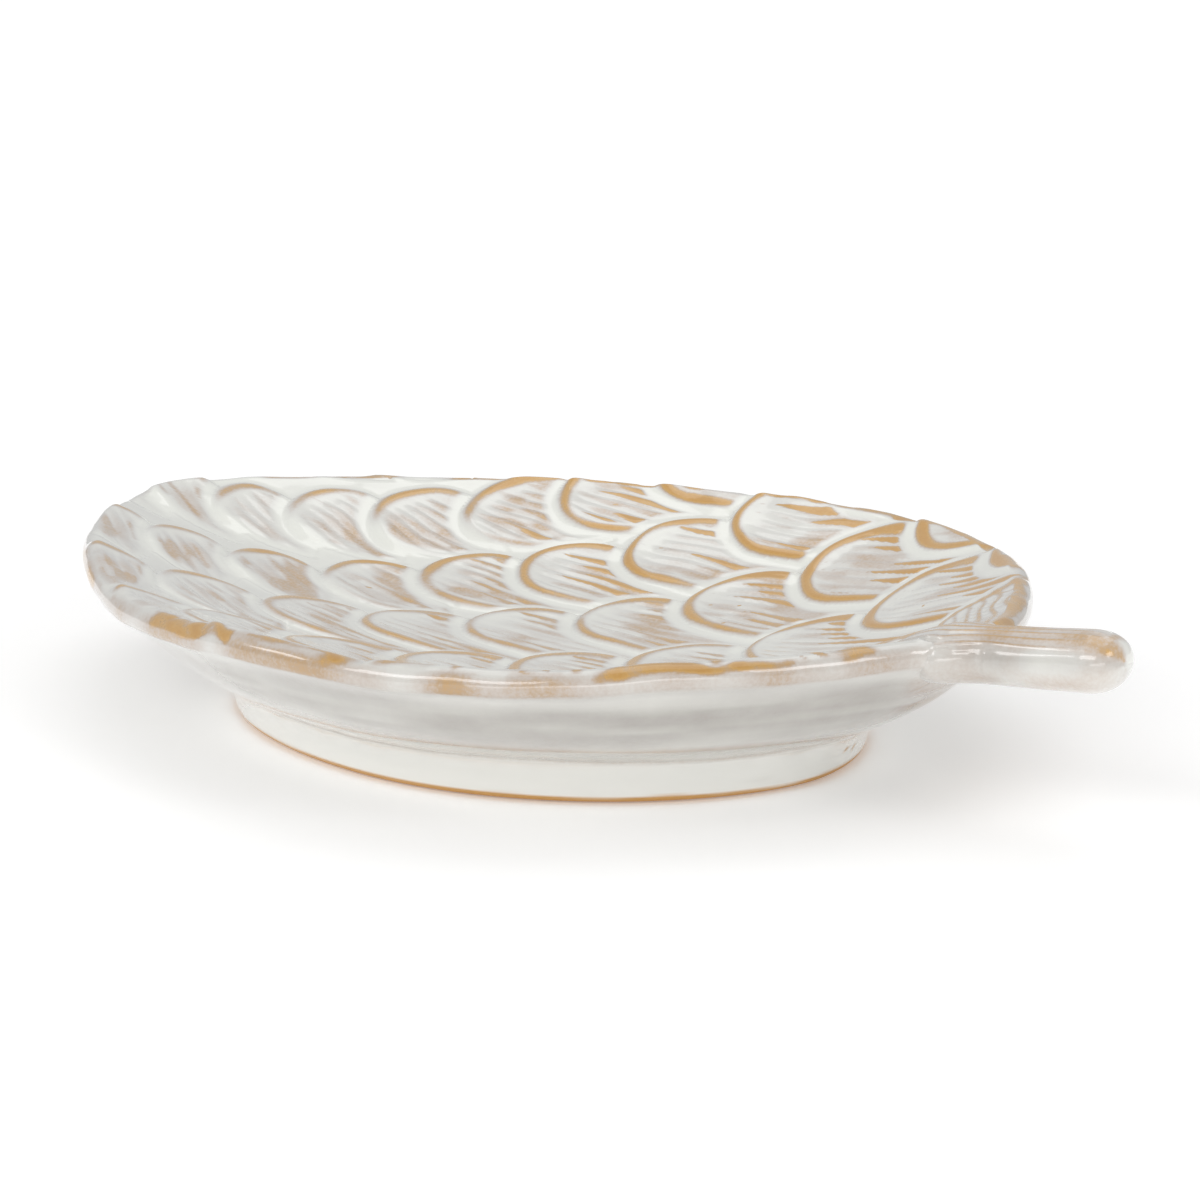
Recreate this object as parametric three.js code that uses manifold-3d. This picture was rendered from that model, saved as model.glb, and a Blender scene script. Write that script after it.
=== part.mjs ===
// Serving dish in glazed stoneware, shaped like half a pinecone.
// Three pieces of clay: the bowl with its overlapping scales, the foot ring under it,
// and the twig-like stem handle that lies in a trough at the broad end.
// Millimetres, +Z up, the table at z = 0, the tip of the cone towards -X.
import * as THREE from "three";
import Module from "manifold-3d";

// Rim of the bowl, measured to the centre of its rounded lip.
const tipReach = 106.2; // widest station to the tip
const baseReach = 63.4; // widest station to the broad end
const rimHalfWidth = 63.9;
const tipPoint = 1.48; // exponent of the outline at the tip: 2 is an ellipse, less is pointed
const basePoint = 1.42; // the same at the broad end
const lipHeight = 22.6; // centre of the lip above the table
const lipRadius = 2.2;

// Inside and walls of the bowl.
const floorHeight = 10; // lowest point of the inside, under the scales
const dishPower = 2.4; // how late the inside turns up towards the lip
const wallBelly = 0.22; // how far the outer wall swells out between the foot and the lip

// Foot ring.
const footTipReach = 58.2; // foot's widest station to its end under the tip
const footBaseReach = 51.1;
const footHalfWidth = 42.9;
const footTipPoint = 2.06;
const footBasePoint = 1.79;
const footOffset = -12.1; // foot's widest station from the rim's widest station
const footHeight = 6;
const footWall = 6;
const footFlare = 1; // the ring is this much wider at its top than at the table
const footRound = 1.2; // rounded edges of the bare clay underside

// Stem handle, measured along X from the broad end of the rim.
const stemLength = 26.5; // lip centre to the end of the stem
const stemRoot = 17; // how far the root runs into the bowl
const stemNeckWidth = 9.5;
const stemNeckHeight = 7.8;
const stemEndWidth = 10.3;
const stemEndHeight = 8.6;
const stemSeat = 0.5; // middle of the stem over the centre of the lip that it crosses
const stemEndRise = 2.9; // middle of the stem's end above the seat
const cradleReach = 7.5; // clay drawn out under the stem, beyond the lip
const cradleRoot = 12; // where that clay leaves the wall, inside the lip
const cradleMargin = 2.5; // it is this much wider than the stem on each side
const cradleHeight = 8.5;
const cradleDrop = 6.5; // its middle under the middle of the stem, at its root
const cradleRise = 3.4; // rise of its middle from its root to its end
const slipGap = 0.3; // line of joining slip between the stem and its trough

// Scales of the cone: a spiral lattice seen from above, each scale a U with its nose to the tip.
const firstScaleX = -67.6; // nose of one scale, from the widest station
const firstScaleY = 3.4;
const spiralStepX = 10.5; // step along the rising spiral
const spiralStepY = 14.4;
const counterStepX = 12.1; // step along the falling spiral
const counterStepY = -27.9;
const spiralSpread = 0.0036; // sideways growth of the lattice per millimetre towards the base
const spreadOrigin = -8.5; // station where the lattice has its own pitch
const tipSweep = 0.0025; // sideways drift of the last scales before the tip
const sweepStart = -48.5;
const scaleWidth = 23.6;
const scaleNose = 11; // length of the rounded nose
const scaleLength = 33; // with the root that the next scales cover
const scaleSink = 1; // how far the root sinks under the floor of the bowl
const scaleLift = 1.4; // height of the nose over the scale that it covers
const scaleFall = 0.6; // share of its lift that a scale loses from its nose to its root
const scaleSkew = 8; // degrees that a scale's axis is turned from the length of the dish
const scaleEdge = 1.5; // width of the rounded edge
const scaleScoop = 4.5; // inset of the hollow behind the edge
const scaleDepth = 2; // how deep a scale is keyed into the wall
const lipFade = 0.5; // share of its lift that a scale loses towards the lip

// The part's frame has its origin under the middle of the whole length.
const widestX = (tipReach + lipRadius - baseReach - stemLength) / 2;
const stemSeatHeight = lipHeight + stemSeat;
const segments = 96;
const shortestEdge = 0.01; // edges that a join leaves shorter than this are closed up

const wasm = await Module();
wasm.setup();

// Distance from the widest station to an outline |x/a|^2 + |y/b|^n = 1, along the angle.
function reach(angle, tip, base, half, tipN, baseN) {
  const c = Math.cos(angle);
  const s = Math.abs(Math.sin(angle));
  const a = c < 0 ? tip : base;
  const n = c < 0 ? tipN : baseN;
  let low = 0;
  let high = tip + base + half;
  for (let k = 0; k < 48; k++) {
    const r = (low + high) / 2;
    const level = (r * c / a) ** 2 + (r * s / half) ** n;
    if (level > 1) high = r;
    else low = r;
  }
  return (low + high) / 2;
}

const rimReach = (angle) =>
  reach(angle, tipReach, baseReach, rimHalfWidth, tipPoint, basePoint);
const footReach = (angle) =>
  reach(angle, footTipReach, footBaseReach, footHalfWidth, footTipPoint, footBasePoint);

// A closed outline in plan with its outward normals.
function outline(reachAt, centreX) {
  const points = [];
  for (let k = 0; k < segments; k++) {
    const angle = (2 * Math.PI * k) / segments;
    const r = reachAt(angle);
    points.push(new THREE.Vector2(centreX + r * Math.cos(angle), r * Math.sin(angle)));
  }
  const normals = points.map((_, k) => {
    const before = points[(k + segments - 1) % segments];
    const after = points[(k + 1) % segments];
    return new THREE.Vector2(after.y - before.y, before.x - after.x).normalize();
  });
  return { points, normals };
}

const rim = outline(rimReach, widestX);
const foot = outline(footReach, widestX + footOffset);

// One ring of a skin: the outline moved out by an offset, at a height.
const ringAt = (line, offset, z) =>
  line.points.map((p, k) => {
    const n = line.normals[k];
    return new THREE.Vector3(p.x + n.x * offset, p.y + n.y * offset, z);
  });

// A closed skin through rings with equal numbers of points. Open ends get a cap.
function skin(rings, looped = false) {
  const count = rings[0].length;
  const points = rings.flat();
  const faces = [];
  const bands = looped ? rings.length : rings.length - 1;
  for (let r = 0; r < bands; r++) {
    const here = r * count;
    const next = ((r + 1) % rings.length) * count;
    for (let k = 0; k < count; k++) {
      const after = (k + 1) % count;
      faces.push(here + k, here + after, next + after);
      faces.push(here + k, next + after, next + k);
    }
  }
  if (!looped) {
    for (const end of [0, rings.length - 1]) {
      const middle = new THREE.Vector3();
      rings[end].forEach((p) => middle.addScaledVector(p, 1 / count));
      points.push(middle);
      for (let k = 0; k < count; k++) {
        const a = end * count + k;
        const b = end * count + ((k + 1) % count);
        faces.push(points.length - 1, end ? a : b, end ? b : a);
      }
    }
  }
  return solid(points, faces);
}

// A solid from points and triangles, turned so that its faces point outwards.
function solid(points, faces) {
  let volume = 0;
  for (let k = 0; k < faces.length; k += 3) {
    const [a, b, c] = [points[faces[k]], points[faces[k + 1]], points[faces[k + 2]]];
    volume += a.dot(new THREE.Vector3().crossVectors(b, c));
  }
  if (volume < 0) faces.reverse();
  return new wasm.Manifold(new wasm.Mesh({
    numProp: 3,
    vertProperties: Float32Array.from(points.flatMap((p) => [p.x, p.y, p.z])),
    triVerts: Uint32Array.from(faces),
    tolerance: shortestEdge,
  }));
}

// Place of a point between the middle of the bowl (0) and the lip (1).
const shareAt = (x, y) =>
  Math.hypot(x - widestX, y) / rimReach(Math.atan2(y, x - widestX));

// Height of the inside of the bowl, without its scales.
const lipTop = lipHeight + lipRadius;
const insideAt = (x, y) =>
  floorHeight + (lipTop - floorHeight) * Math.min(shareAt(x, y), 1.05) ** dishPower;

// Bowl: underside, outer wall, rounded lip and inside, as one skin of rings.
function bowlShell() {
  const rings = [];
  rings.push(ringAt(foot, -footWall, footHeight));
  rings.push(ringAt(foot, footFlare, footHeight));
  const wallSteps = 6;
  const wallTop = -0.5;
  for (let k = 1; k < wallSteps; k++) {
    const t = k / wallSteps;
    const swell = t + wallBelly * Math.sin(Math.PI * t) * (1 - t);
    const low = ringAt(foot, footFlare, 0);
    const high = ringAt(rim, lipRadius * Math.cos(wallTop), 0);
    const top = lipHeight + lipRadius * Math.sin(wallTop);
    const z = footHeight + (top - footHeight) * t;
    rings.push(low.map((p, i) => p.clone().lerp(high[i], swell).setZ(z)));
  }
  for (let k = 0; k <= 6; k++) {
    const turn = wallTop + (k / 6) * (2.0 - wallTop);
    rings.push(ringAt(rim, lipRadius * Math.cos(turn), lipHeight + lipRadius * Math.sin(turn)));
  }
  const edge = rings[rings.length - 1];
  for (const share of [0.9, 0.78, 0.62, 0.42, 0.2]) {
    rings.push(edge.map((p) => {
      const x = widestX + (p.x - widestX) * share;
      const y = p.y * share;
      return new THREE.Vector3(x, y, insideAt(x, y));
    }));
  }
  return skin(rings);
}

// A round bar through stations along X: middle height, width and height of each section.
function bar(stations, grow) {
  const sides = 24;
  const rings = stations.map(({ x, z, width, height }) => {
    const ring = [];
    for (let k = 0; k < sides; k++) {
      const a = (2 * Math.PI * k) / sides;
      const y = (width / 2 + grow) * Math.cos(a);
      ring.push(new THREE.Vector3(x, y, z + (height / 2 + grow) * Math.sin(a)));
    }
    return ring;
  });
  return skin(rings);
}

// Stem: its root sinks into the inside of the bowl, its neck crosses the lip,
// and its end is a little thicker and rounded off.
function stemBar(grow) {
  const lipX = widestX + baseReach;
  const endX = lipX + stemLength;
  const rootX = lipX - stemRoot;
  const rootZ = insideAt(rootX, 0) - 0.4;
  const stations = [];
  const steps = 16;
  const capLength = stemEndHeight * 0.55;
  for (let k = 0; k <= steps; k++) {
    const t = k / steps;
    const x = rootX + (endX - capLength - rootX) * t;
    const inner = Math.max(0, (lipX - x) / stemRoot);
    const outer = Math.max(0, (x - lipX) / stemLength);
    const z = stemSeatHeight + stemEndRise * outer + (rootZ - stemSeatHeight) * inner ** 1.6;
    const end = outer ** 1.4;
    const taper = 1 - 0.62 * inner ** 1.5;
    const width = (stemNeckWidth + (stemEndWidth - stemNeckWidth) * end) * (1 + 0.35 * inner);
    const height = (stemNeckHeight + (stemEndHeight - stemNeckHeight) * end) * taper;
    stations.push({ x: x - (k === 0 ? grow : 0), z, width, height });
  }
  const last = stations[stations.length - 1];
  for (const turn of [0.3, 0.6, 0.9, 1.15, 1.35]) {
    const share = Math.cos(turn) ** 0.8;
    stations.push({
      x: last.x + capLength * Math.sin(turn) / Math.sin(1.35) + grow * (turn / 1.35),
      z: last.z + (stemEndRise / stemLength) * capLength * Math.sin(turn),
      width: last.width * share,
      height: last.height * share,
    });
  }
  return bar(stations, grow);
}

// Clay of the bowl that is drawn out under the stem and carries it.
function cradle() {
  const lipX = widestX + baseReach;
  const stations = [];
  for (let k = 0; k <= 8; k++) {
    const t = k / 8;
    const x = lipX - cradleRoot + (cradleReach + cradleRoot) * t;
    const nose = Math.sqrt(1 - t ** 4) * 0.96 + 0.04;
    stations.push({
      x,
      z: stemSeatHeight - cradleDrop + cradleRise * t,
      width: (stemNeckWidth + 2 * cradleMargin) * (1 - 0.45 * t) * nose,
      height: cradleHeight * (1 - 0.35 * t) * nose,
    });
  }
  return bar(stations, 0);
}

// One scale, draped on the inside of the bowl: a U with a rounded raised edge and a hollow
// behind it, which falls from its nose to its root.
function scaleAt(noseX, noseY, half) {
  const along = [1, 0.66, 0.38];
  const arc = [72, 54, 36, 18, 0].map((d) => (d * Math.PI) / 180);
  // Half of the U, from root to nose, as distance along the axis and across it.
  const side = (inset) => {
    const straight = along.map((t) => [scaleLength * t, half - inset]);
    const round = arc.map((a) => [
      scaleNose - (scaleNose - inset) * Math.cos(a),
      (half - inset) * Math.sin(a),
    ]);
    return straight.concat(round);
  };
  const skew = THREE.MathUtils.degToRad(scaleSkew);
  const ring = (inset, lift) => {
    const one = side(inset);
    const other = one.slice(0, -1).reverse().map(([u, v]) => [u, -v]);
    return one.concat(other).map(([u, v]) => {
      const x = noseX + u * Math.cos(skew) - v * Math.sin(skew);
      const y = noseY + u * Math.sin(skew) + v * Math.cos(skew);
      const back = u / scaleLength;
      const soft = 1 - lipFade * THREE.MathUtils.smoothstep(shareAt(x, y), 0.8, 1);
      const rise = lift > 0 ? lift * soft * (1 - scaleFall * back) - scaleSink * back ** 2 : lift;
      return new THREE.Vector3(x, y, insideAt(x, y) + rise);
    });
  };
  const rings = [
    ring(0, -scaleDepth),
    ring(0, scaleLift * 0.35),
    ring(scaleEdge * 0.4, scaleLift * 0.85),
    ring(scaleEdge, scaleLift),
    ring(scaleScoop, scaleLift * 0.72),
  ];
  const count = rings[0].length;
  const points = rings.flat();
  const faces = [];
  for (let r = 0; r < rings.length - 1; r++) {
    for (let k = 0; k < count; k++) {
      const after = (k + 1) % count;
      const here = r * count;
      const next = here + count;
      faces.push(here + k, here + after, next + after);
      faces.push(here + k, next + after, next + k);
    }
  }
  // The top and the bottom are closed by strips across the U.
  const strip = (start, up) => {
    for (let k = 0; k < (count - 1) / 2; k++) {
      const a = start + k;
      const b = start + k + 1;
      const c = start + count - 1 - k;
      const d = start + count - 2 - k;
      if (up) faces.push(a, b, c);
      else faces.push(a, c, b);
      if (b !== d) {
        if (up) faces.push(b, d, c);
        else faces.push(b, c, d);
      }
    }
  };
  strip(0, false);
  strip((rings.length - 1) * count, true);
  return solid(points, faces);
}

// All scales whose nose or body lies within the rim.
function scales() {
  const found = [];
  for (let i = -16; i <= 18; i++) {
    for (let j = -9; j <= 11; j++) {
      const fromWidest = firstScaleX + i * spiralStepX + j * counterStepX;
      const spread = 1 + spiralSpread * (fromWidest - spreadOrigin);
      const sweep = tipSweep * Math.max(0, sweepStart - fromWidest) ** 2;
      const y = (firstScaleY + i * spiralStepY + j * counterStepY) * spread + sweep;
      const x = widestX + fromWidest;
      const half = (scaleWidth / 2) * spread;
      const touches = [
        [x + 1, y],
        [x + scaleNose, y - half * 0.8],
        [x + scaleNose, y + half * 0.8],
        [x + scaleNose * 1.6, y],
      ].some(([px, py]) => shareAt(px, py) < 1);
      if (touches && fromWidest < baseReach) found.push(scaleAt(x, y, half));
    }
  }
  const within = skin([ringAt(rim, 0.4, footHeight + 1), ringAt(rim, 0.4, lipTop + 6)]);
  return wasm.Manifold.union(found).intersect(within);
}

// Foot ring: a profile carried round the foot's outline, with a flat bare underside.
function footRing() {
  const profile = [
    [footFlare, footHeight],
    [footFlare * 0.4, footHeight * 0.45],
    [0, footRound],
    [-footRound * 0.3, footRound * 0.3],
    [-footRound, 0],
    [-footWall + footRound, 0],
    [-footWall + footRound * 0.3, footRound * 0.3],
    [-footWall, footRound],
    [-footWall, footHeight],
  ];
  return skin(profile.map(([offset, z]) => ringAt(foot, offset, z)), true);
}

const part = new THREE.Group();
part.name = "pinecone_dish";

function addPiece(name, piece, colour) {
  const mesh = piece.getMesh();
  const geometry = new THREE.BufferGeometry();
  geometry.setAttribute("position", new THREE.BufferAttribute(mesh.vertProperties, 3));
  geometry.setIndex(new THREE.BufferAttribute(mesh.triVerts, 1));
  const material = new THREE.MeshStandardMaterial({ color: colour, roughness: 0.3 });
  const shown = new THREE.Mesh(geometry, material);
  shown.name = name;
  part.add(shown);
}

// The bowl is one body of clay: crumbs that the cuts leave behind are brushed off.
const fired = wasm.Manifold.union([bowlShell(), cradle(), scales()]).subtract(stemBar(slipGap));
const bowl = fired.decompose().reduce((a, b) => (a.volume() > b.volume() ? a : b));
addPiece("bowl", bowl, 0xe9e6de);
addPiece("foot_ring", footRing(), 0xd9b27a);
addPiece("stem_handle", stemBar(0), 0xd8c6b4);

export default part;
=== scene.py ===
# %% [markdown]
# # A pinecone dish in reactive glaze
# The dish is three pieces of stoneware: a bowl whose inside is covered with overlapping cone
# scales, a foot ring and a twig-like stem. The glaze runs off every raised edge while it melts,
# so edges show tan clay and hollows fill up with white. The lesson builds the clay first, keeps
# a number on every point for how thin the glaze lies there, and lets one material read it.
# Lengths are in millimetres until a mesh is made.

# %% load the frame
import bpy
import math
import numpy as np
from mathutils.kdtree import KDTree
from types import SimpleNamespace
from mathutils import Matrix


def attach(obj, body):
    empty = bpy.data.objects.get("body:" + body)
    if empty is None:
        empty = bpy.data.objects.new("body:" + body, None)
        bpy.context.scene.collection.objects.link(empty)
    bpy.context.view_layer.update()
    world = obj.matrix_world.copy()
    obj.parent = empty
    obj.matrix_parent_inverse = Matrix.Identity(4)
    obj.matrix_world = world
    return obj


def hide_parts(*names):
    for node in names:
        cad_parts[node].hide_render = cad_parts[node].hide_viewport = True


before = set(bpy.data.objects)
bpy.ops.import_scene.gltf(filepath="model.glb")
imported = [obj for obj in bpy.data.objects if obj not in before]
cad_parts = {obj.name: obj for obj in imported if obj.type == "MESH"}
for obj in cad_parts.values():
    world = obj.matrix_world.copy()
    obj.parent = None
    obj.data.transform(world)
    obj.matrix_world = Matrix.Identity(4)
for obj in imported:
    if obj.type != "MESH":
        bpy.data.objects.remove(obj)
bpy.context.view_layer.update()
print("frame nodes:", sorted(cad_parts))

# %% [markdown]
# ## The camera
# The photograph looks along the dish from the broad end's side, low over the rim. A camera can
# be placed by eye, but here its angles, distance and target came from fitting the outline of
# the rim and the foot, so they are written as numbers. A 90 mm lens on the usual 36 mm sensor
# keeps the rim's far side from shrinking too much.

# %% place the camera
VIEW_TURN = math.radians(43.25)
VIEW_RISE = math.radians(12.76)
VIEW_DISTANCE = 453.8
VIEW_TARGET = np.array([5.32, 0.0, 20.05])
towards = np.array([math.sin(VIEW_TURN) * math.cos(VIEW_RISE),
                    -math.cos(VIEW_TURN) * math.cos(VIEW_RISE), math.sin(VIEW_RISE)])
aside = np.array([math.cos(VIEW_TURN), math.sin(VIEW_TURN), 0.0])
above = np.cross(towards, aside)
lens = bpy.data.cameras.new("photo_view")
lens.lens = 90
lens.sensor_width = 36
lens.clip_start = 0.01
camera = bpy.data.objects.new("photo_view", lens)
bpy.context.scene.collection.objects.link(camera)
eye = (VIEW_TARGET + VIEW_DISTANCE * towards) / 1000
for row in range(3):
    camera.matrix_world[row][0] = aside[row]
    camera.matrix_world[row][1] = above[row]
    camera.matrix_world[row][2] = towards[row]
    camera.matrix_world[row][3] = eye[row]
bpy.context.scene.camera = camera
print("camera at", [round(float(v), 3) for v in eye])

# %% [markdown]
# ## Outlines of the rim and the foot
# Seen from above, the bowl is an egg with a pointed tip. A drawn curve would do, but a formula
# can be asked about any point of the inside: the outline is |x/a|^2 + |y/b|^n = 1 with its own
# reach a towards the tip and towards the base. Halving an interval finds the reach at an angle.

# %% outline formula
WIDEST_X = 9.25
TIP_REACH = 106.2
BASE_REACH = 63.4
RIM_HALF_WIDTH = 63.9
LIP_HEIGHT = 22.6
LIP_RADIUS = 2.2
FOOT_X = WIDEST_X - 12.1
FOOT_HEIGHT = 6.0
FOOT_WALL = 6.0
FOOT_LEDGE = 1.0


def reach(angle, tip, base, half, tip_point, base_point):
    """Distance from the centre to the outline at each angle."""
    c, s = np.cos(angle), np.abs(np.sin(angle))
    a = np.where(c < 0, tip, base)
    n = np.where(c < 0, tip_point, base_point)
    low, high = np.zeros_like(c), np.full_like(c, tip + base + half)
    for _ in range(44):
        r = (low + high) / 2
        outside = (r * c / a) ** 2 + (r * s / half) ** n > 1
        high, low = np.where(outside, r, high), np.where(outside, low, r)
    return (low + high) / 2


ANGLES = np.linspace(-np.pi, np.pi, 2049)
RIM_REACH = reach(ANGLES, TIP_REACH, BASE_REACH, RIM_HALF_WIDTH, tip_point=1.48, base_point=1.42)
FOOT_REACH = reach(ANGLES, tip=58.2, base=51.1, half=42.9, tip_point=2.06, base_point=1.79)
print("rim is", round(RIM_REACH[0] + RIM_REACH[1024], 1), "mm long to the lip's centre")


# %% points and outward normals of an outline
def outline(angle, reach_table, centre_x):
    """Plan points of an outline at the angles, and its outward normals there."""
    def at(a):
        a = (a + np.pi) % (2 * np.pi) - np.pi
        r = np.interp(a, ANGLES, reach_table)
        return np.stack([centre_x + r * np.cos(a), r * np.sin(a)], -1)
    along = at(angle + 0.02) - at(angle - 0.02)
    normal = np.stack([along[..., 1], -along[..., 0]], -1)
    return at(angle), normal / np.linalg.norm(normal, axis=-1, keepdims=True)


def share(x, y):
    """Place of a point between the middle of the bowl (0) and the lip (1)."""
    angle = np.arctan2(y, x - WIDEST_X)
    return np.hypot(x - WIDEST_X, y) / np.interp(angle, ANGLES, RIM_REACH)


print("share at the tip:", share(np.array([WIDEST_X - TIP_REACH]), np.array([0.0])).round(3))

# %% [markdown]
# ## Small unevenness
# Hand-finished clay is never exact. Blender has noise nodes for colour, but a shape needs noise
# that the mesh code can read, so a small table of random values is smoothed between its cells.

# %% value noise and soft steps
NOISE_CELLS = 64


def uneven(x, y, size, seed):
    """Smooth random values from -1 to 1 that change over about size millimetres."""
    table = np.random.RandomState(seed).uniform(-1, 1, (NOISE_CELLS, NOISE_CELLS))
    gx, gy = x / size + 200.3, y / size + 300.7
    ix, iy = np.floor(gx).astype(int), np.floor(gy).astype(int)
    fx, fy = gx - ix, gy - iy
    fx, fy = fx * fx * (3 - 2 * fx), fy * fy * (3 - 2 * fy)

    def cell(i, j):
        return table[(ix + i) % NOISE_CELLS, (iy + j) % NOISE_CELLS]

    near = cell(0, 0) * (1 - fx) + cell(1, 0) * fx
    far = cell(0, 1) * (1 - fx) + cell(1, 1) * fx
    return near * (1 - fy) + far * fy


def soft_step(value, start, end):
    """0 at the start, 1 at the end and a smooth rise between; the start may be the higher one."""
    t = np.clip((value - start) / (end - start), 0, 1)
    return t * t * (3 - 2 * t)


print("noise sample:", uneven(np.array([1.0, 2.0]), np.array([0.0, 0.0]), 5, 1).round(2))

# %% [markdown]
# ## Where the scales sit
# The scales follow two crossing spirals, as on a real cone. In plan these are two fixed steps
# that repeat, and the pitch grows a little towards the base. Near the tip the scales turn and
# close to ovals, and those by the far rim are wider. Placing each scale by hand would also
# work, but the lattice covers the whole bowl, also where the photograph doesn't look.

# %% the spiral lattice
SCALE_WIDTH = 23.6
SCALE_NOSE = 11.0
SCALE_LENGTH = 33.0
SCALE_LIFT = 1.35
SCALE_SINK = 0.6
SCALE_SKEW = 8.0
TIP_TURN = 24.0
TIP_CLOSE = 18.0
FIRST_NOSE = (-67.6, 3.4)
STEP_ONE = (10.5, 14.4)
STEP_TWO = (12.1, -27.9)


def near_tip(x):
    """How far (0 to 1) the scales at a place have closed to ovals."""
    return soft_step(-x, 28, 62)


def scale_lattice():
    """Nose, half width, turn (radians) and roundness of every scale, from the tip to the base."""
    found = []
    for i in range(-16, 19):
        for j in range(-9, 12):
            from_widest = FIRST_NOSE[0] + STEP_ONE[0] * i + STEP_TWO[0] * j
            spread = 1 + 0.0036 * (from_widest + 8.5)
            sweep = 0.0025 * max(0.0, -48.5 - from_widest) ** 2
            x = WIDEST_X + from_widest
            y = (FIRST_NOSE[1] + STEP_ONE[1] * i + STEP_TWO[1] * j) * spread + sweep
            near = share(np.array([x + SCALE_NOSE]), np.array([y]))[0]
            if near < 1.4 and from_widest < 66:
                by_tip = float(soft_step(-x, 42, 75))
                by_rim = float(soft_step(-x, 35, 60) * soft_step(y, 5, 22))
                turn = SCALE_SKEW - by_tip * (TIP_TURN - 0.6 * y)
                half = SCALE_WIDTH / 2 * spread * (1 - 0.12 * by_tip + 0.3 * by_rim)
                found.append((x, y + by_rim, half, math.radians(turn), float(near_tip(x))))
    return sorted(found)


SCALES = scale_lattice()
print(len(SCALES), "scales touch the bowl")

# %% [markdown]
# ## One point on the cone
# For a point of the inside we ask which scale lies on top there, how far the point is from that
# scale's own edge, and how far it is from the next scale that covers it. Scales nearer the base
# lie over those nearer the tip, so going through them in that order and overwriting is enough.

# %% which scale is on top
FAR_OFF = 99.0


def cone_place(x, y):
    """The scale on top at each point, the place on it, and the gap to the next scale over it."""
    at_x = x + 0.55 * uneven(x, y, 9, 11)
    at_y = y + 0.55 * uneven(at_x, y, 9, 12)
    own = np.full(x.shape, -1)
    along, across = np.full(x.shape, 30.0), np.zeros(x.shape)
    inset, gap = np.full(x.shape, 12.0), np.full(x.shape, FAR_OFF)
    cover = np.full(x.shape, 12.0)
    for k, (nose_x, nose_y, half, turn, oval) in enumerate(SCALES):
        ahead, aside_nose = at_x - nose_x, at_y - nose_y
        u = ahead * math.cos(turn) + aside_nose * math.sin(turn)
        v = aside_nose * math.cos(turn) - ahead * math.sin(turn)
        round_part = np.hypot((SCALE_NOSE - u) / SCALE_NOSE, v / half) - 1
        narrow = 1 - oval * np.clip((u - SCALE_NOSE) / TIP_CLOSE, 0, 1) ** 2
        beyond = oval * np.clip(u - SCALE_NOSE - TIP_CLOSE, 0, None)
        edge = np.where(u < SCALE_NOSE, round_part * (SCALE_NOSE + half) / 2,
                        np.abs(v) - half * narrow + beyond)
        on = edge < 0
        own[on], along[on], across[on], inset[on] = k, u[on], v[on], -edge[on]
        gap[on] = FAR_OFF
        nearer = ~on & (edge < gap)
        gap[nearer], cover[nearer] = edge[nearer], u[nearer]
    return SimpleNamespace(x=x, y=y, tip=near_tip(x), own=own, along=along, across=across,
                           inset=inset, gap=gap, cover=cover)


probe = cone_place(np.array([0.0, 20.0]), np.array([0.0, 10.0]))
print("scale on top at two points:", probe.own)

# %% [markdown]
# ## Relief of the scales
# A scale is highest along its rounded edge, hollow behind it, and falls to its root under the
# next ones. Fine ribs run along its back. Bump maps could fake the ribs, but they catch the
# light as real steps here, so they are real heights. The glaze value comes from the same
# distances: thin on edges and ribs, thick at the foot of each step.


# %% rise of a scale's back and edge
def scale_rise(along):
    """Lift of a scale's back (mm) at a distance from its nose, and how far it has sunk."""
    back = np.clip(along, 0, SCALE_LENGTH) / SCALE_LENGTH
    return SCALE_LIFT * (1 - 0.6 * back), SCALE_SINK * back ** 2


def edge_shape(inset):
    """Share of the lift at a distance in from the edge: rounded, highest, then hollow."""
    rounded = 1 - 0.65 * np.clip(1 - inset / 1.5, 0, 1) ** 2.2
    return rounded - 0.3 * soft_step(inset, 1.5, 5.0)


print("a scale is", scale_rise(0.0)[0], "mm high at its nose")

# %% ribs along the back of a scale
RIB_PITCH = 2.4
RIB_SETS, RIBS_EACH = 200, 32
dice = np.random.RandomState(7)
RIB_SHIFT = dice.uniform(0, 1, RIB_SETS)
strong = dice.uniform(0, 1, (RIB_SETS, RIBS_EACH)) < 0.65
RIB_FORCE = np.where(strong, dice.uniform(0.8, 1, (RIB_SETS, RIBS_EACH)),
                     dice.uniform(0.15, 0.5, (RIB_SETS, RIBS_EACH)))
RIB_REACH = dice.uniform(3.0, 8.5, (RIB_SETS, RIBS_EACH))
for k, (nose_x, nose_y, *_) in enumerate(SCALES):
    if share(np.array([nose_x]), np.array([nose_y]))[0] > 1.03:
        RIB_FORCE[k] *= 0.4


def ribs(spot):
    """Strokes (0 to 1) that taper from the next scale's foot to the nose, and their swelling."""
    own, along, gap = spot.own, spot.along, spot.gap
    fan = spot.across / (1 + 0.012 * (along - 12)) + 0.5 * uneven(spot.x, spot.y, 7, 21)
    turn = fan / RIB_PITCH + RIB_SHIFT[own]
    rib = np.round(turn).astype(int) % RIBS_EACH
    aside_rib = 2 * np.abs(turn - np.round(turn))
    taper = np.clip(1 - (gap - 2.4) / RIB_REACH[own, rib], 0, 1) ** 0.6
    inside = soft_step(gap, 1.9, 3.0) * soft_step(spot.inset, 1.8, 3.2) * (own >= 0)
    stroke = soft_step(0.7 * taper - aside_rib, -0.15, 0.2) * inside
    swell = (1 - aside_rib ** 2) * soft_step(along, 3, 9) * inside
    return stroke * RIB_FORCE[own, rib], swell * (0.4 + 0.6 * RIB_FORCE[own, rib])


print("strong ribs at the two points:", ribs(probe)[0].round(2))


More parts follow.
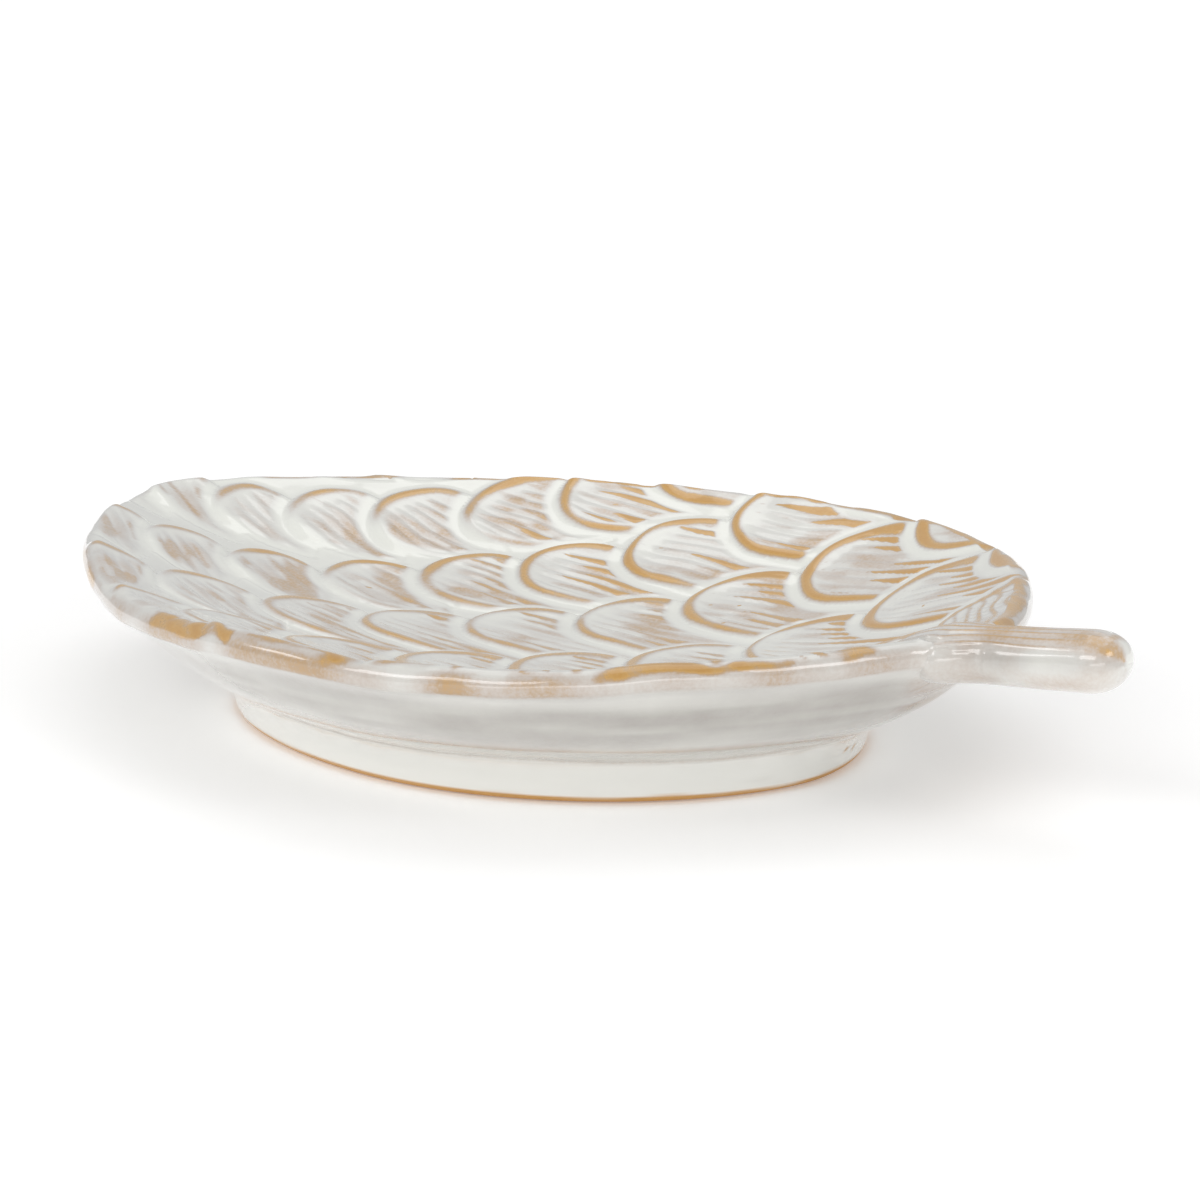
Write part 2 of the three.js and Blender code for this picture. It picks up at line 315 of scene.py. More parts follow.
# %% height of the cone
def cone_height(spot, swell):
    """Height over the plain inside (mm). The relief softens towards the rim."""
    soft = 0.5 + 0.45 * soft_step(spot.x, 5, 30)
    soft = 1 - soft * soft_step(share(spot.x, spot.y), 0.8, 1.0)
    lift, sink = scale_rise(spot.along)
    lift = lift * (1 - 0.75 * spot.tip * soft_step(spot.along, 9, 20))
    height = np.where(spot.own < 0, 0, soft * lift * edge_shape(spot.inset) - sink)
    over_lift, over_sink = scale_rise(spot.cover)
    foot_of_step = np.clip(1 - spot.gap / 1.6, 0, 1) ** 2
    height = height + (soft * 0.35 * over_lift - over_sink - height) * foot_of_step
    return height + 0.26 * swell * soft


print("height at the two points:", cone_height(probe, ribs(probe)[1]).round(2), "mm")


# %% tan along the edges of the scales
def edge_arc(spot, worn, broken, cap):
    """Tan line (0 to 1) just inside a scale's edge, wider on its inner side."""
    side = soft_step(spot.across, 1, 9)
    width = 0.6 + 0.4 * worn + 0.5 * side + 0.5 * cap
    inward = spot.inset - 0.3 - width
    arc = np.exp(-(inward / np.where(inward > 0, 1.35 * width, width)) ** 2)
    arc = arc * (1 - 0.35 * soft_step(spot.along, 12, 24))
    arc = arc * (0.5 + 0.35 * worn + 0.35 * broken)
    upper = soft_step(spot.across, -3, 5)
    return arc * (1 - spot.tip * soft_step(spot.along, 2 + 5 * upper, 8 + 8 * upper))


def tan_strength(spot, cap):
    """How strong the tan lines are: most by the far wall and the base, least at the tip."""
    x, y = spot.x, spot.y
    golden = 0.55 + 0.3 * soft_step(x, -75, -10) + 0.15 * soft_step(x, -5, 45)
    high_up = 0.42 * soft_step(share(x, y), 0.35, 0.75) * soft_step(x, -95, -45)
    golden = golden + high_up * soft_step(y, -20, 25)
    return golden + 0.35 * cap * soft_step(spot.across, -7, 2)


print("strength of the tan at the two points:", tan_strength(probe, 0.0).round(2))


# %% haze on the backs of the scales
def back_haze(spot, worn, broken, swell):
    """Thin glaze (0 to 0.5) that streaks the back of a scale between its tan lines."""
    x, y, along = spot.x, spot.y, spot.along
    streaky = 0.5 + 0.5 * uneven(spot.across + 40 * spot.own, along / 4, 1.3, 33)
    streaks = soft_step(streaky, 0.45, 0.8) * (0.35 + 0.65 * worn)
    haze = 0.1 + 0.28 * worn * broken + 0.36 * streaks + 0.12 * swell
    haze = haze * soft_step(spot.inset, 1.0, 3.2)
    haze = haze * (1 - 0.5 * spot.tip * soft_step(along, 14, 24))
    haze = haze * (0.5 + 0.5 * soft_step(along, 4, 13))
    haze = haze * (1 + 0.45 * spot.tip - 0.35 * soft_step(x, 20, 50))
    haze = haze + 0.08 * soft_step(y, 10, 40) * broken
    return np.minimum(haze, 0.5 - 0.1 * soft_step(x, -10, 35))


print("haze at the two points:", back_haze(probe, 0.5, 0.5, ribs(probe)[1]).round(2))


# %% height and glaze of the cone together
def cone_surface(x, y):
    """Height over the plain inside (mm) and how thin the glaze is (0 to 1)."""
    spot = cone_place(x, y)
    stroke, swell = ribs(spot)
    height = cone_height(spot, swell)
    worn = 0.5 + 0.5 * uneven(x, y, 11, 31)
    broken = 0.5 + 0.5 * uneven(x, y, 3.5, 32)
    cap = spot.tip * soft_step(spot.along, 6.5, 1.5)
    rib_lines = (0.95 - 0.45 * spot.tip) * stroke * (0.7 + 0.4 * broken)
    lines = np.maximum(edge_arc(spot, worn, broken, cap), rib_lines) * tan_strength(spot, cap)
    swirl = soft_step(x, 48, 60) * soft_step(y, 2, 8) * soft_step(share(x, y), 0.7, 0.8)
    turned = 0.5 + 0.5 * np.cos(150 * share(x, y) + 5 * uneven(x, y, 8, 34))
    height = height + 0.2 * swirl * turned
    lines = lines * (1 - 0.6 * swirl) + 0.75 * swirl * turned ** 2
    thin = np.where(spot.own < 0, 0.05, np.maximum(lines, back_haze(spot, worn, broken, swell)))
    return height, np.clip(thin * soft_step(spot.gap, 1.2, 3.0), 0, 1)


sample = cone_surface(np.linspace(-90, 60, 400), np.full(400, 12.0))
print("relief along one line, mm:", sample[0].min().round(2), "to", sample[0].max().round(2))

# %% [markdown]
# ## The stem as a surface
# The stem lies over the lip and its root flows into the inside. Just outside the lip it flares
# like a fillet. A curve with a bevel would give a bar as well, but its width and height change
# along X, and every other step asks these numbers of a station, so they are functions.

# %% stations of the stem
LIP_END_X = WIDEST_X + BASE_REACH
STEM_LENGTH = 26.5
STEM_END_X = LIP_END_X + STEM_LENGTH
STEM_WIDTH = 9.5
STEM_HEIGHT = 7.8
STEM_THICKENS = 0.8
STEM_SEAT = 23.1
STEM_RISE = 2.9
STEM_ROOT_LENGTH = 17.0
STEM_ROOT_X = LIP_END_X - STEM_ROOT_LENGTH
FLARE_RADIUS = 8.0
FLARE_LENGTH = 7.0
FLOOR = 10.0
HOLLOW = 2.4
LIP_TOP = LIP_HEIGHT + LIP_RADIUS


def plain_inside(x, y):
    """Height of the inside without its scales."""
    return FLOOR + (LIP_TOP - FLOOR) * np.minimum(share(x, y), 1.05) ** HOLLOW


def stem_section(x):
    """Middle height, half width and half height of the stem at a station, before its cap."""
    inner = np.clip((LIP_END_X - x) / STEM_ROOT_LENGTH, 0, 1.2)
    outer = np.clip((x - LIP_END_X) / STEM_LENGTH, 0, 1)
    root_z = plain_inside(np.array([STEM_ROOT_X]), np.array([0.0]))[0] - 0.4
    z = STEM_SEAT + STEM_RISE * outer + (root_z - STEM_SEAT) * inner ** 1.6
    thicker = STEM_THICKENS * outer ** 1.4
    beyond_lip = np.clip(x - LIP_END_X - 1.0, 0, FLARE_LENGTH)
    flare = FLARE_RADIUS - np.sqrt(FLARE_RADIUS ** 2 - (FLARE_LENGTH - beyond_lip) ** 2)
    half_w = (STEM_WIDTH + thicker) / 2 * (1 + 0.6 * inner) + flare * soft_step(x, 63, 73.6)
    half_h = (STEM_HEIGHT + thicker) / 2 * (1 - 0.62 * inner ** 1.5)
    return z, half_w, half_h


print("stem middle at the lip:", stem_section(np.array([LIP_END_X]))[0].round(2))

# %% [markdown]
# ## Building the bowl
# A lathe-like net would crowd its points in the middle, so the inside is a square net pressed
# into the egg: the corners round off and the cells stay nearly equal. From its border, rings go
# over the lip, down the outer wall and across the underside, so the bowl is one closed skin.
# Under the stem the rim is drawn out a little, as wet clay is when a thumb pulls it.

# %% hand-made unevenness of the lip and the drawn-out web under the stem
DRAWN_OUT = 4.5
WEB_HEIGHT = 23.0


def lip_wave(x, y):
    """Rise and fall of the lip round the dish (mm)."""
    towards_stem = 1.1 * soft_step(x, 38, 62) * soft_step(y, 8, -4)
    dip = 1.7 * soft_step(-x, 0, 25) * soft_step(-x, 78, 45) * soft_step(-y, 12, 40)
    return 0.4 * uneven(x, y, 17, 71) + 0.2 * uneven(x, y, 6, 72) + towards_stem - dip


def drawn_out(x, y, z, amount):
    """Points of the rim, drawn out along the stem and gathered towards its axis, and how far."""
    beside = np.clip(np.abs(y) - 4.3, 0, None)
    pull = np.exp(-beside / 1.9) * soft_step(x, 45, 62) * amount
    close = soft_step(pull, 0.1, 0.8)
    z = z + (WEB_HEIGHT - z) * 0.6 * close
    return x + DRAWN_OUT * pull, y * (1 - 0.2 * close), z, pull


rim_end = drawn_out(LIP_END_X, 0.0, LIP_HEIGHT, 1.0)
print("rim end is drawn out to x =", rim_end[0].round(1), "mm")

# %% square net pressed into the outline
NET = 340
LIP_INNER_TURN, LIP_OUTER_TURN = 2.0, -0.5


def inside_net():
    """Points of the inside without its scales, with their share of the reach and their angle."""
    side = np.linspace(-1, 1, NET + 1)
    a, b = np.meshgrid(side, side, indexing="ij")
    u, v = a * np.sqrt(1 - b * b / 2), b * np.sqrt(1 - a * a / 2)
    rho, angle = np.hypot(u, v), np.arctan2(v, u)
    point, normal = outline(angle, RIM_REACH, WIDEST_X)
    edge = point + normal * LIP_RADIUS * math.cos(LIP_INNER_TURN)
    x = WIDEST_X + (edge[..., 0] - WIDEST_X) * rho
    y = edge[..., 1] * rho
    lip_start = LIP_HEIGHT + LIP_RADIUS * math.sin(LIP_INNER_TURN)
    z = FLOOR + (lip_start - FLOOR) * rho ** HOLLOW
    return x, y, z, rho, angle


net_x, net_y, net_z, net_rho, net_angle = inside_net()
net_relief, net_thin = cone_surface(net_x, net_y)
net_z = net_z + net_relief + lip_wave(net_x, net_y) * net_rho ** 4
net_x, net_y, net_z, _ = drawn_out(net_x, net_y, net_z, soft_step(net_rho, 0.78, 1.0))
for speck in np.random.RandomState(9).randint(30, NET - 30, (14, 2)):
    net_thin[tuple(speck)] = 1.0
print("inside net:", net_x.size, "points")

# %% border of the net, in order
border = ([(i, 0) for i in range(NET)] + [(NET, j) for j in range(NET)]
          + [(i, NET) for i in range(NET, 0, -1)] + [(0, j) for j in range(NET, 0, -1)])
border_i = np.array([p[0] for p in border])
border_j = np.array([p[1] for p in border])
turn_angle = net_angle[border_i, border_j]
rim_point, rim_normal = outline(turn_angle, RIM_REACH, WIDEST_X)
foot_point, foot_normal = outline(turn_angle, FOOT_REACH, FOOT_X)
print("border has", len(border), "points")

# %% [markdown]
# ## Lip, outer wall and underside
# The lip is a round bead. The glaze slips off it, which leaves long tan stretches along the
# highest line and a pink blush below, with painted shade on the bead's outer side, broken here
# and there by white drips. Painting these by hand would need a picture, so a list of bearings
# and some noise place them. The wall's glaze is thicker and a little grey, and painted shade
# darkens it towards the foot, with faint streaks round it and tan under the stem.

# %% where the lip shows tan
GOLD_SPANS = ((-147, -142), (-119, -101), (-87, -82), (-51, -25), (-18, -13),
              (143, 153), (160, 165))


def lip_gold(x, y):
    """Long tan stretches (0 to 1), by their bearing from the bowl's middle in degrees."""
    bearing = np.degrees(turn_angle) + 2.5 * uneven(x, y, 4, 50)
    return sum(soft_step(bearing, start - 3, start + 2) * soft_step(bearing, end + 3, end - 2)
               for start, end in GOLD_SPANS)


def lip_band(turn, x, y, calm):
    """The part of the bead's round (0 to 1) that the glaze slips off."""
    inward = soft_step(y, 0, 30)
    outward = 0.6 * soft_step(-x, 15, 50) * soft_step(y, -5, -20)
    low_edge = 0.45 + 0.35 * calm * uneven(x, y, 6, 43) + 0.5 * inward - outward
    high_edge = 1.4 + 0.55 * calm * uneven(x, y, 4, 45) + 0.7 * inward - outward
    band = soft_step(turn, low_edge - 0.4, low_edge + 0.15)
    band = band * soft_step(turn, high_edge + 0.35, high_edge - 0.25)
    return band * (1 - 0.4 * soft_step(-x, 60, 90))


def lip_clear(turn, x, y, gold):
    """1 where the lip is clear and 0 where a white drip runs over it."""
    ragged = 1.8 * uneven(x + 9 * turn, y, 3.0, 47) + 0.8 * uneven(x, y + 5 * turn, 1.3, 48)
    drip = soft_step(uneven(x + ragged, y + 0.6 * ragged, 5.5, 49), 0.25, 0.6)
    clear = 1 - drip * float(soft_step(turn, 0.2, 1.1))
    return clear + (1 - clear) * 0.95 * np.where(x < -10, gold, 0)


print("long tan stretches of the lip:", len(GOLD_SPANS))


# %% rings over the lip
def lip_thin(turn, x, y, fade):
    """How thin the glaze lies on the bead (0 to 1)."""
    gold = lip_gold(x, y)
    clear = lip_clear(turn, x, y, gold)
    calm = 1 - 0.7 * soft_step(-x, 10, 35) * soft_step(y, -5, -25)
    patch = uneven(x, y, 17, 41) + 0.6 * uneven(x, y, 5, 42) + 0.2 * soft_step(y, 0, 30)
    patch = soft_step(patch, -0.6, 0.1)
    patch = np.where(y < -5, np.maximum(0.45 * patch, gold), np.maximum(patch, gold))
    worn = patch * lip_band(turn, x, y, calm) * (0.15 + 0.85 * clear)
    worn = worn * (0.8 + 0.3 * calm * uneven(x + 3 * turn, y, 2.4, 44))
    dusky = (0.4 + 0.2 * uneven(x, y, 6, 46)) * (1 - fade) * (0.5 + 0.5 * clear)
    dusky = dusky * (1 + 0.35 * soft_step(-x, 50, 80))
    return np.maximum(worn, dusky)


def lip_ring(turn):
    """One ring of the lip: points, glaze value and painted shade."""
    fade = soft_step(turn, 0.4, 1.7)
    x = rim_point[:, 0] + rim_normal[:, 0] * LIP_RADIUS * math.cos(turn)
    y = rim_point[:, 1] + rim_normal[:, 1] * LIP_RADIUS * math.cos(turn)
    relief, thin = cone_surface(x, y)
    z = LIP_HEIGHT + LIP_RADIUS * math.sin(turn) + lip_wave(x, y)
    z = z + relief * fade * (1 + 0.3 * soft_step(y, 5, 30) * soft_step(x, 30, 10))
    thin = np.maximum(thin * fade, lip_thin(turn, x, y, fade))
    # painted shade on the bead's outer side, continuing the shade at the top of the wall
    blush = np.full(x.shape, 0.4 * float(soft_step(turn, 1.9, 1.0)))
    x, y, z, _ = drawn_out(x, y, z, 1.0)
    return np.stack([x, y, z], -1), thin, blush


LIP_TURNS = np.linspace(LIP_INNER_TURN, LIP_OUTER_TURN, 15)[1:]
lip_rings = [lip_ring(t) for t in LIP_TURNS]
print("lip has", len(lip_rings), "rings")


# %% rings down the wall and across the underside
def wall_at(angle, t):
    """Points of the outer wall at the angles, t from 0 at the foot to 1 at the lip."""
    rim, rim_out = outline(angle, RIM_REACH, WIDEST_X)
    foot, foot_out = outline(angle, FOOT_REACH, FOOT_X)
    t = np.broadcast_to(t, angle.shape)[:, None]
    high = rim + rim_out * LIP_RADIUS * math.cos(LIP_OUTER_TURN)
    low = foot + foot_out * FOOT_LEDGE
    top = LIP_HEIGHT + LIP_RADIUS * math.sin(LIP_OUTER_TURN)
    plan = low + (high - low) * (t + 0.22 * np.sin(np.pi * t) * (1 - t))
    x, y, t = plan[:, 0], plan[:, 1], t[:, 0]
    dent = 0.35 * uneven(x + 7 * t, y, 21, 73) * np.sin(np.pi * t)
    z = FOOT_HEIGHT + (top - FOOT_HEIGHT) * t + lip_wave(x, y) * t ** 2
    return x + rim_out[:, 0] * dent, y + rim_out[:, 1] * dent, z


def wall_ring(t):
    """One ring of the wall: points, glaze value and painted shade."""
    x, y, z = wall_at(turn_angle, t)
    x, y, z, pull = drawn_out(x, y, z, soft_step(z, 16, 21.5))
    streak = uneven(turn_angle * 5, z, 1.1, 74) + uneven(turn_angle * 4, z, 2.4, 75)
    thin = 0.15 + 0.05 * streak
    thin = thin + 0.45 * soft_step(pull, 0.06, 0.25) * soft_step(streak, -0.6, 0.6)
    under_stem = soft_step(turn_angle, -0.16, 0.04) * soft_step(turn_angle, 1.1, 0.8)
    under_stem = under_stem * float(soft_step(t, 0.25, 0.55))
    thin = np.maximum(thin, 0.62 * under_stem * soft_step(streak, -0.7, 0.5))
    # painted shade: the wall is darkened most towards the foot and least by the lip, with random
    # streaks
    blush = 0.9 - 0.5 * float(soft_step(t, 0.75, 1.0)) + 0.2 * streak
    return np.column_stack([x, y, z]), np.clip(thin, 0, 1), np.clip(blush, 0, 1)


def under_ring(shrink):
    """One ring of the flat underside: points, glaze value and painted shade (none here)."""
    low = foot_point + foot_normal * FOOT_LEDGE
    centre = np.array([FOOT_X, 0.0])
    plan = centre + (low - centre) * shrink
    flat = np.full(len(plan), FOOT_HEIGHT)
    return np.column_stack([plan, flat]), np.full(len(plan), 0.1), np.zeros(len(plan))


wall_rings = [wall_ring(t) for t in np.linspace(1, 0, 25)[1:]]
under_rings = [under_ring(s) for s in (0.93, 0.86, 0.6, 0.3)]
print("wall and underside:", len(wall_rings), "and", len(under_rings), "rings")

# %% [markdown]
# ## A mesh with its glaze and painted shade values
# Values that belong to points are stored as attributes on the mesh. A material can read them by
# name, and they bake with the colour, so no picture is needed.


# %% mesh helper
def clay_mesh(name, points, faces, thin, blush, bare):
    """A smooth piece from points in millimetres, with its three values: how thin the glaze is,
    painted shade together with blush, and bare clay.
    """
    mesh = bpy.data.meshes.new(name)
    mesh.from_pydata((np.asarray(points) / 1000).tolist(), [], faces)
    for key, values in (("thin", thin), ("blush", blush), ("bare", bare)):
        store = mesh.attributes.new(key, "FLOAT", "POINT")
        store.data.foreach_set("value", np.asarray(values, dtype=np.float32))
    mesh.shade_smooth()
    piece = bpy.data.objects.new(name, mesh)
    bpy.context.scene.collection.objects.link(piece)
    print(name, "has", len(mesh.vertices), "points and", len(mesh.polygons), "faces")
    return piece


def band_faces(first, second):
    """Quads between two closed rings of point numbers."""
    return [(int(a), int(b), int(c), int(d)) for a, b, c, d in
            zip(first, np.roll(first, -1), np.roll(second, -1), second)]


# %% put the bowl together
number = np.arange((NET + 1) ** 2).reshape(NET + 1, NET + 1)
bowl_faces = np.stack([number[:-1, :-1], number[1:, :-1], number[1:, 1:], number[:-1, 1:]],
                      -1).reshape(-1, 4).tolist()
bowl_points = [np.stack([net_x, net_y, net_z], -1).reshape(-1, 3)]
bowl_thin, bowl_painted_shade = [net_thin.ravel()], [np.zeros(net_x.size)]
ring = number[border_i, border_j]
made = net_x.size
for points, thin, blush in lip_rings + wall_rings + under_rings:
    following = np.arange(made, made + len(points))
    bowl_faces += band_faces(following, ring)
    bowl_points.append(points)
    bowl_thin.append(thin)
    bowl_painted_shade.append(blush)
    ring, made = following, made + len(points)
bowl_points.append(np.array([[FOOT_X, 0.0, FOOT_HEIGHT]]))
bowl_thin.append(np.array([0.1]))
bowl_painted_shade.append(np.array([0.0]))
bowl_faces += [(int(b), int(a), made) for a, b in zip(ring, np.roll(ring, -1))]
bowl = clay_mesh("glazed_bowl", np.concatenate(bowl_points), bowl_faces,
                 np.concatenate(bowl_thin), np.concatenate(bowl_painted_shade),
                 np.zeros(made + 1))

# %% [markdown]
# ## The stem
# The stem is a bar of changing section with a rounded end. Its top is scratched along its
# length like bark, so narrow ridges stand up, and the glaze leaves them as tan lines. A bump
# map would leave its outline smooth, so the ridges are part of each section.

# %% stem points
STEM_AROUND = 168
STEM_CAP = 8.6 * 0.55
around_stem = np.linspace(0, 2 * np.pi, STEM_AROUND, endpoint=False)


def stem_stations():
    """Place along X, middle height, half width and half height of every section."""
    stations = []
    body = np.linspace(STEM_ROOT_X - 1.0, STEM_END_X - STEM_CAP, 150)
    for x in body:
        z, w, h = (float(v) for v in stem_section(np.array(x)))
        stations.append((x, z, w, h))
    for turn in np.linspace(0, 1.5, 26)[1:]:
        further = STEM_CAP * math.sin(turn)
        squeeze = math.cos(turn) ** 0.8
        stations.append((body[-1] + further, z + STEM_RISE / STEM_LENGTH * further,
                         w * squeeze, h * squeeze))
    return stations


stem_sections = stem_stations()
print("stem has", len(stem_sections), "sections")


# %% bark and glaze of the stem
def bark(station):
    """Ridge height (0 to 1) of the bark lines, on the upper side only."""
    upper = soft_step(np.sin(around_stem + 0.15), 0.2, 0.6) * soft_step(station, 97.5, 93)
    drift = 0.35 * uneven(station, around_stem * 4, 9, 51)
    lines = (0.5 + 0.5 * np.cos(around_stem * 23 + drift * 5)) ** 1.6
    fade = 0.8 + 0.4 * uneven(station, around_stem * 6, 12, 52)
    return lines * upper * np.clip(fade, 0, 1)


def stem_glaze(station, ridge):
    """Glaze value and blush round one section."""
    high, turn = np.sin(around_stem), around_stem
    front = np.exp(-((turn - 2.4) / 0.32) ** 2) * soft_step(station, 91, 95)
    front = front * soft_step(station, 99.4, 98.2)
    end_rim = np.exp(-((station - 97.2) / 0.9) ** 2) * soft_step(high, 0.1, 0.7)
    patch = np.maximum(front, 0.7 * end_rim) * (0.6 + 0.5 * uneven(station, turn * 6, 4, 54))
    haze = 0.17 + 0.15 * soft_step(high, 0.2, 0.8) + 0.25 * uneven(station, turn * 5, 4.5, 55)
    thin = np.maximum(np.maximum(0.8 * ridge ** 0.8, patch), haze)
    near_side = soft_step(-np.cos(turn), 0.3, 0.8) * soft_step(station, 90, 79)
    rose = near_side * (0.32 + 0.15 * uneven(station, turn * 4, 3, 56))
    blush = np.exp(-((turn - 2.95) / 0.4) ** 2) * 0.5 + 0.35 * near_side
    return np.maximum(np.clip(thin, 0, 1), rose), blush


print("bark ridges at one section:", int((bark(np.full(STEM_AROUND, 85.0)) > 0.5).sum()), "points")

# %% put the stem together
stem_points, stem_thin, stem_blush = [], [], []
for x, z, w, h in stem_sections:
    station = np.full(STEM_AROUND, x)
    ridge = bark(station)
    grow = 1 + 0.05 * ridge + 0.02 * uneven(station, around_stem * 5, 8, 53)
    stem_points.append(np.column_stack([station, w * np.cos(around_stem) * grow,
                                        z + h * np.sin(around_stem) * grow]))
    thin, blush = stem_glaze(station, ridge)
    stem_thin.append(thin)
    stem_blush.append(blush)
stem_number = np.arange(len(stem_sections) * STEM_AROUND).reshape(-1, STEM_AROUND)
stem_faces = []
for first, second in zip(stem_number[:-1], stem_number[1:]):
    stem_faces += band_faces(first, second)
stem_faces.append(tuple(int(v) for v in stem_number[0][::-1]))
stem_faces.append(tuple(int(v) for v in stem_number[-1]))
stem = clay_mesh("bark_stem", np.concatenate(stem_points), stem_faces,
                 np.concatenate(stem_thin), np.concatenate(stem_blush),
                 np.zeros(stem_number.size))

# %% [markdown]
# ## Smoothing the join
# The potter presses the stem on and wipes the seam with a wet thumb. Joining the meshes would
# lose the two pieces, so each surface swells a little where the other crosses it. The swelling
# softens the corner, fades out beside the stem, and evens out the glaze value and the painted
# shade value there too.


# %% fillet between two pieces
JOIN_FROM_X, JOIN_HALF_WIDTH = 40, 22
JOIN_REACH = 4.5


def near_join(piece):
    """Numbers, points (mm) and normals of a piece's part round the join."""
    count = len(piece.data.vertices)
    points, normals = np.empty(count * 3, np.float32), np.empty(count * 3, np.float32)
    piece.data.vertices.foreach_get("co", points)
    piece.data.vertex_normals.foreach_get("vector", normals)
    points, normals = points.reshape(-1, 3) * 1000.0, normals.reshape(-1, 3)
    near = (points[:, 0] > JOIN_FROM_X) & (np.abs(points[:, 1]) < JOIN_HALF_WIDTH)
    near = np.where(near)[0]
    return near, points[near], normals[near]


def swell_towards(own_part, other_part):
    """New points of a part that swells towards another, and how strongly (0 to 1) each does."""
    near, points, normals = own_part
    tree = KDTree(len(other_part[1]))
    for k, spot in enumerate(other_part[1]):
        tree.insert(spot, k)
    tree.balance()
    nearest = np.array([tree.find(point)[1] for point in points])
    apart = points - other_part[1][nearest]
    other_normal = other_part[2][nearest]
    outside = np.sum(apart * other_normal, -1)
    close = np.clip(1 - np.linalg.norm(apart, axis=-1) / JOIN_REACH, 0, 1) ** 2
    crossing = np.clip(1 - np.sum(normals * other_normal, -1), 0, 1)
    beside = soft_step(np.abs(points[:, 1]), 11.0, 5.5)
    grow = JOIN_REACH / 4 * close * crossing * beside * soft_step(outside, -1.5, 0.0)
    return near, points + normals * grow[:, None], close


bowl_part, stem_part = near_join(bowl), near_join(stem)
swollen = [(bowl, swell_towards(bowl_part, stem_part)),
           (stem, swell_towards(stem_part, bowl_part))]
print("points near the join:", len(bowl_part[0]), "of the bowl,", len(stem_part[0]), "of the stem")

# %% move the points and even out the glaze and the painted shade
EVEN_GLAZE_AND_SHADE = 0.25
for piece, (near, points, close) in swollen:
    for k, point in zip(near, points / 1000.0):
        piece.data.vertices[k].co = point
    # the second value is painted shade on the bowl and a real blush on the stem; both are evened
    # out
    for key in ("thin", "blush"):
        values = np.empty(len(piece.data.vertices), dtype=np.float32)
        piece.data.attributes[key].data.foreach_get("value", values)
        values[near] += (EVEN_GLAZE_AND_SHADE - values[near]) * close * 0.8
        piece.data.attributes[key].data.foreach_set("value", values)
    piece.data.update()
    print(piece.name, "swells at", int((close > 0).sum()), "points of the join")

# %% [markdown]
# ## The foot ring
# The foot is a low ring with a bare underside, so that it doesn't stick to the kiln shelf. The
# glaze stops just above the table in an uneven line. In the corner under the wall it pools: a
# curve runs from a wavy crease on the wall down to the ring. A bevel would give an even corner,
# so the pool is drawn as the first part of the ring's own profile.

# %% pool of glaze under the wall
FOOT_STEPS = 480
foot_angle = np.linspace(-np.pi, np.pi, FOOT_STEPS, endpoint=False)
ring_point, ring_normal = outline(foot_angle, FOOT_REACH, FOOT_X)


def level(offset, height):
    """A line round the foot at an offset from its outline and a height."""
    return np.column_stack([ring_point + ring_normal * offset, np.full(FOOT_STEPS, height)])


crease = uneven(ring_point[:, 0], ring_point[:, 1], 13, 76)
crease = 0.05 + 0.05 * crease + 0.02 * uneven(ring_point[:, 0], ring_point[:, 1], 5, 77)
crease = np.maximum(crease, 0.008)
inner = np.stack(wall_at(foot_angle, crease + 0.02), -1) + [0, 0, 0.5]
edge = np.stack(wall_at(foot_angle, crease), -1) - [0, 0, 0.3]
below = level(0.45, 2.9)
hollow = 0.5 * level(FOOT_LEDGE, FOOT_HEIGHT) + 0.25 * (edge + below)
foot_points, foot_thin = [inner], [np.full(FOOT_STEPS, 0.5)]
for place in np.linspace(0, 1, 12):
    foot_points.append((1 - place) ** 2 * edge + 2 * place * (1 - place) * hollow
                       + place ** 2 * below)
    foot_thin.append(np.full(FOOT_STEPS, max(0.0, 0.22 - 2 * place)))
foot_bare = [np.zeros(FOOT_STEPS) for _ in foot_points]
print("pool of glaze has", len(foot_points), "lines round the foot")

# %% ring below the pool
FOOT_PROFILE = [(0.28, 2.2), (0.1, 1.5), (0.0, 1.1), (-0.1, 0.75), (-0.35, 0.36), (-0.75, 0.1),
                (-1.2, 0.0), (-3.0, 0.0), (-4.8, 0.0), (-5.3, 0.12), (-5.65, 0.4), (-5.9, 0.8),
                (-FOOT_WALL, 1.3), (-FOOT_WALL, 3.0), (-FOOT_WALL, FOOT_HEIGHT)]
PINHOLES = ((48.0, 6.3, 3.7), (47.1, 9.3, 3.3))
for offset, height in FOOT_PROFILE:
    line = level(offset, height)
    foot_points.append(line)
    glaze_end = 1.0 + 0.3 * uneven(line[:, 0], line[:, 1], 9, 61)
    foot_bare.append(soft_step(glaze_end - height, -0.1, 0.25))
    blotch = soft_step(uneven(line[:, 0], line[:, 1] + 2 * height, 9, 62), 0.35, 0.9)
    foot_thin.append(0.3 * blotch * float(soft_step(height, 0.8, 2.5)))
for pinhole in PINHOLES:
    for points, bare in zip(foot_points, foot_bare):
        bare += 0.9 * soft_step(np.linalg.norm(points - pinhole, axis=-1), 0.9, 0.3)
foot_number = np.arange(len(foot_points) * FOOT_STEPS).reshape(-1, FOOT_STEPS)
foot_faces = []
for first, second in zip(np.roll(foot_number, -1, axis=0), foot_number):
    foot_faces += band_faces(first, second)
foot = clay_mesh("foot_ring_glazed", np.concatenate(foot_points), foot_faces,
                 np.concatenate(foot_thin), np.zeros(foot_number.size),
                 np.concatenate(foot_bare))

# %% [markdown]
# ## Shader maths as Python
# A material is a net of nodes. Wiring sums and products by hand is slow to read, so one small
# class wraps a socket: adding two of them adds a Math node. Every other node comes from its
# node() method, which takes the type, the settings and the inputs.


